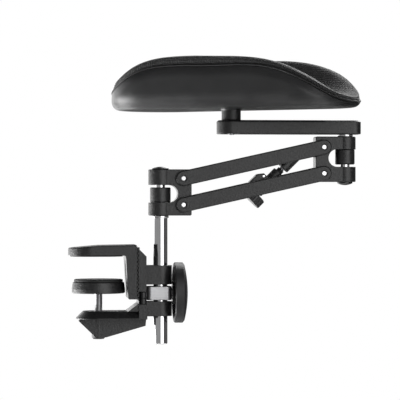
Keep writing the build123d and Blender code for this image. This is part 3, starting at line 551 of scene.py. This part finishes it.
# Insets of the cushion's side and their heights above the lip, in millimetres, from the bottom up.
SIDE_STEPS = ((3.5, -1.2), (3.4, -0.5), (2.7, 0.15), (1.9, 0.7), (1.45, 1.4))
SIDE_FOOT = 3.6 * MM  # inset of the side where it meets the underside
SIDE_LEAST = 0.1 * MM  # the side's points stay at least this far above the underside
CUSHION_INSET = 1.3 * MM  # bulge of the cushion's side, in from the shell's face
BASE_INSET = 4.2 * MM  # of the underside's outermost ring
BASE_GAP = 0.4 * MM  # between the underside and the shell's floor
PLATE_RISE = 2.8 * MM  # further up over the steel plate
PLATE_REACH = 100 * MM  # from the pad's middle to where that rise starts
PLATE_SLOPE = 30 * MM  # length over which it rises
SEAM_DEPTH = 0.7 * MM  # how far it is sunk in
SEAM_ROW = 2  # ring of the rounded edge that the seam runs along
STITCH_LIFT = 0.05 * MM  # of the stitches' middle above the cover


def crest_height(along, across):
    """Height of the cushion's crest, which differs between the near and the far side."""
    near, far = (
        float(np.interp(along / MM, CREST_ALONG, rises)) * MM for rises in (CREST_NEAR, CREST_FAR)
    )
    share = clamped(0.3 + 0.7 * across / pad_radius)
    return lip_height(along) + near + (far - near) * share


def trough_height(across):
    """Height of the round trough that the forearm lies in."""
    share = min(abs(across) / TROUGH_RADIUS, TROUGH_STEEP)
    steep = share / math.sqrt(1 - share**2)
    beyond = max(0.0, abs(across) - share * TROUGH_RADIUS)
    return shell_low.z + TROUGH_AXIS - TROUGH_RADIUS * math.sqrt(1 - share**2) + steep * beyond


def cushion_top(along, across):
    """The lower of crest and trough, with a soft turn between them."""
    crest, trough = crest_height(along, across), trough_height(across)
    share = clamped(0.5 + 0.5 * (trough - crest) / CREST_BLEND)
    return trough + (crest - trough) * share - CREST_BLEND * share * (1 - share)


def cushion_base(along):
    """Underside: on the shell's floor at the ends, over the steel plate in the middle."""
    rise = clamped((PLATE_REACH - abs(along)) / PLATE_SLOPE)
    return pad_floor + BASE_GAP + PLATE_RISE * rise * rise * (3 - 2 * rise)


def side_rings():
    """The cushion's side from its underside up to the start of the rounded edge."""
    rings = [[at_station(st, SIDE_FOOT, cushion_base(inward(st, 0)[0])) for st in stations]]
    for inset, lift in SIDE_STEPS:
        rings.append([
            at_station(st, inset * MM, max(lip + lift * MM, rings[0][i].z + SIDE_LEAST))
            for i, (st, lip) in enumerate(zip(stations, lip_top))
        ])
    return rings


def edge_rings(turns=9):
    """The rounded edge: a quarter ellipse at each station, from the side up to the top surface."""
    rings = []
    for k in range(turns + 1):
        turn = 0.5 * math.pi * k / turns
        ring = []
        for st, lip in zip(stations, lip_top):
            crown = cushion_top(*inward(st, ROLL_DEPTH))
            foot = lip + ROLL_FOOT * (crown - lip)
            inset = CUSHION_INSET + (ROLL_DEPTH - CUSHION_INSET) * (1 - math.cos(turn))
            ring.append(at_station(st, inset, foot + (crown - foot) * math.sin(turn)))
        rings.append(ring)
    return rings


def top_rings(steps=13):
    """The upper surface, from inside the rounded edge to the pad's middle line."""
    rings = []
    for k in range(1, steps + 1):
        inset = ROLL_DEPTH + (pad_radius - ROLL_DEPTH) * k / steps
        rings.append([at_station(st, inset, cushion_top(*inward(st, inset))) for st in stations])
    return rings


def base_rings(steps=4):
    """The flat underside, from the pad's middle line out to the side."""
    rings = []
    for k in range(steps):
        inset = pad_radius - (pad_radius - BASE_INSET) * k / steps
        rings.append([at_station(st, inset, cushion_base(inward(st, inset)[0])) for st in stations])
    return rings


PUFF_CAP = 3 * MM  # the furthest that a point may move
PUFF_PRESSURE = 4
PUFF_STEPS = 20
PUFF_START = 0.5 * MM  # above the lip, where points begin to be free
PUFF_FADE = 4 * MM  # height over which they become fully free
HELD_BELOW = 0.02  # freedom under which a point is pinned


def puff(piece):
    """Fill the cushion by a short cloth simulation, which moves only what stands above the lip."""
    flat = [v.co.copy() for v in piece.data.vertices]
    freedom = []
    for co in flat:
        lip = lip_height((co - pad_middle).dot(pad_along))
        share = clamped((co.z - lip - PUFF_START) / PUFF_FADE)
        freedom.append(share * share * (3 - 2 * share))
    held = piece.vertex_groups.new(name="held")
    held.add([i for i, share in enumerate(freedom) if share < HELD_BELOW], 1.0, "REPLACE")
    cloth = piece.modifiers.new("fill", "CLOTH")
    cloth.settings.quality = 5
    cloth.settings.use_pressure = True
    cloth.settings.uniform_pressure_force = PUFF_PRESSURE
    cloth.settings.effector_weights.gravity = 0
    cloth.settings.vertex_group_mass = "held"
    scene = bpy.context.scene
    for step in range(1, PUFF_STEPS + 1):
        scene.frame_set(step)
    full = piece.evaluated_get(bpy.context.evaluated_depsgraph_get()).data
    moves = [(full.vertices[i].co - co) * freedom[i] for i, co in enumerate(flat)]
    piece.modifiers.remove(cloth)
    piece.vertex_groups.remove(held)
    scene.frame_set(1)
    for vertex, co, move in zip(piece.data.vertices, flat, moves):
        vertex.co = co + move * min(1.0, PUFF_CAP / max(move.length, 1e-9))


def ring_group(piece, name):
    """Indices of a marked ring's points, in order round the pad."""
    group = piece.vertex_groups[name].index
    return [v.index for v in piece.data.vertices if any(g.group == group for g in v.groups)]


def cushion():
    """The filled cover, with a seam sunk into its rounded edge and stitches beside the seam."""
    below_edge = base_rings() + side_rings()
    rings = below_edge + edge_rings() + top_rings()
    seam_ring = len(below_edge) + SEAM_ROW
    piece = ring_mesh("cushion_cover", rings, fabric, marks={"seam": seam_ring, "stitch": seam_ring + 1})
    puff(piece)
    normals = [v.normal.copy() for v in piece.data.vertices]
    for index in ring_group(piece, "seam"):
        piece.data.vertices[index].co -= normals[index] * SEAM_DEPTH
    stitch_line = [
        piece.data.vertices[i].co + normals[i] * STITCH_LIFT for i in ring_group(piece, "stitch")
    ]
    finer = piece.modifiers.new("finer", "SUBSURF")
    finer.levels = finer.render_levels = 1
    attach(piece, "pad")
    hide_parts("cushion")
    stitches(stitch_line)


def stitches(line, length=2.3 * MM, pitch=3.7 * MM, thick=0.26 * MM):
    """A row of sewn stitches along a closed line: each is a short rounded bar."""
    line = line + [line[0]]
    lengths = np.concatenate([[0], np.cumsum([(b - a).length for a, b in zip(line, line[1:])])])
    count = int(lengths[-1] / pitch)
    courses = [[p[axis] for p in line] for axis in range(3)]
    vertices, faces = [], []
    for k in range(count):
        centre = (k + 0.5) * lengths[-1] / count
        ends = [
            Vector([float(np.interp(where, lengths, course)) for course in courses])
            for where in (centre - length / 2, centre + length / 2)
        ]
        rod_piece(vertices, faces, *ends, thick)
    piece = mesh_piece("cushion_stitches", vertices, faces, thread)
    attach(piece, "pad")


ROUND_BAR = ((0, 0.35), (0.18, 1), (0.82, 1), (1, 0.35))  # share of the length, share of the radius


def rod_piece(vertices, faces, start, end, radius, sides=6):
    """Add a short rounded bar between two points to a list of vertices and faces."""
    axis = (end - start).normalized()
    across = axis.orthogonal().normalized()
    third = axis.cross(across)
    first = len(vertices)
    for share, size in ROUND_BAR:
        for k in range(sides):
            turn = 2 * math.pi * k / sides
            spoke = across * math.cos(turn) + third * math.sin(turn)
            vertices.append(start.lerp(end, share) + spoke * radius * size)
    for j in range(len(ROUND_BAR) - 1):
        for k in range(sides):
            n = (k + 1) % sides
            low, high = first + j * sides, first + (j + 1) * sides
            faces.append((low + k, low + n, high + n, high + k))
    faces.append(tuple(first + k for k in reversed(range(sides))))
    faces.append(tuple(first + (len(ROUND_BAR) - 1) * sides + k for k in range(sides)))


cushion()

# ------------------------------------------------------------------ threaded screws
THREAD_SIDES = 24
THREAD_ROWS = 6  # rings of points to one turn of the thread
THREAD_END = 0.3 * MM  # plain length at each end
THREAD_FLANK, THREAD_CREST = 2.6, 0.2  # steepness of its flanks and width of its flat crest
SOCKET_DEPTH = 4 * MM


def threaded(name, node, body, axis, pitch, depth, material, socket=0.0):
    """A screw with a real helical thread, filling the box of a plain CAD cylinder along an axis."""
    points = [v.co for v in frame["nodes"][node].data.vertices]
    middle_point = middle(node)
    reach = [(p - middle_point).dot(axis) for p in points]
    low, high = min(reach), max(reach)
    radius = max(((p - middle_point) - axis * r).length for p, r in zip(points, reach))
    across = axis.orthogonal().normalized()
    third = axis.cross(across)
    rows = int((high - low) / pitch * THREAD_ROWS)

    def ring(height, size):
        turned = []
        for k in range(THREAD_SIDES):
            turn = 2 * math.pi * k / THREAD_SIDES
            size_here = size(turn) if callable(size) else size
            spoke = across * math.cos(turn) + third * math.sin(turn)
            turned.append(middle_point + axis * height + spoke * size_here)
        return turned

    def hexagon(turn):
        return socket * math.cos(math.pi / 6) / math.cos((turn % (math.pi / 3)) - math.pi / 6)

    rings = []
    if socket:
        floor_of_socket = low + SOCKET_DEPTH
        rings += [ring(floor_of_socket, 0.0), ring(floor_of_socket, hexagon), ring(low, hexagon)]
    else:
        rings += [ring(low, 0.0)]
    rings.append(ring(low, radius - depth))
    for j in range(rows + 1):
        height = low + THREAD_END + (high - low - 2 * THREAD_END) * j / rows

        def crest(turn, height=height):
            phase = (height / pitch - turn / (2 * math.pi)) % 1.0
            return radius - depth * clamped(abs(phase - 0.5) * THREAD_FLANK - THREAD_CREST)

        rings.append(ring(height, crest))
    rings += [ring(high, radius - depth), ring(high, 0.0)]
    piece = ring_mesh(name, rings, material)
    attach(piece, body)
    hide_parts(node)


threaded(
    "clamp_screw_thread", "clamp_screw", "screw", Vector((0, 0, 1)),
    pitch=1.25 * MM, depth=0.6 * MM, material=zinc, socket=2.3 * MM,
)
threaded(
    "spindle_thread", "strut_spindle", "strut_low", Vector(joint("knob_turn")["axis"]).normalized(),
    pitch=0.8 * MM, depth=0.4 * MM, material=zinc,
)
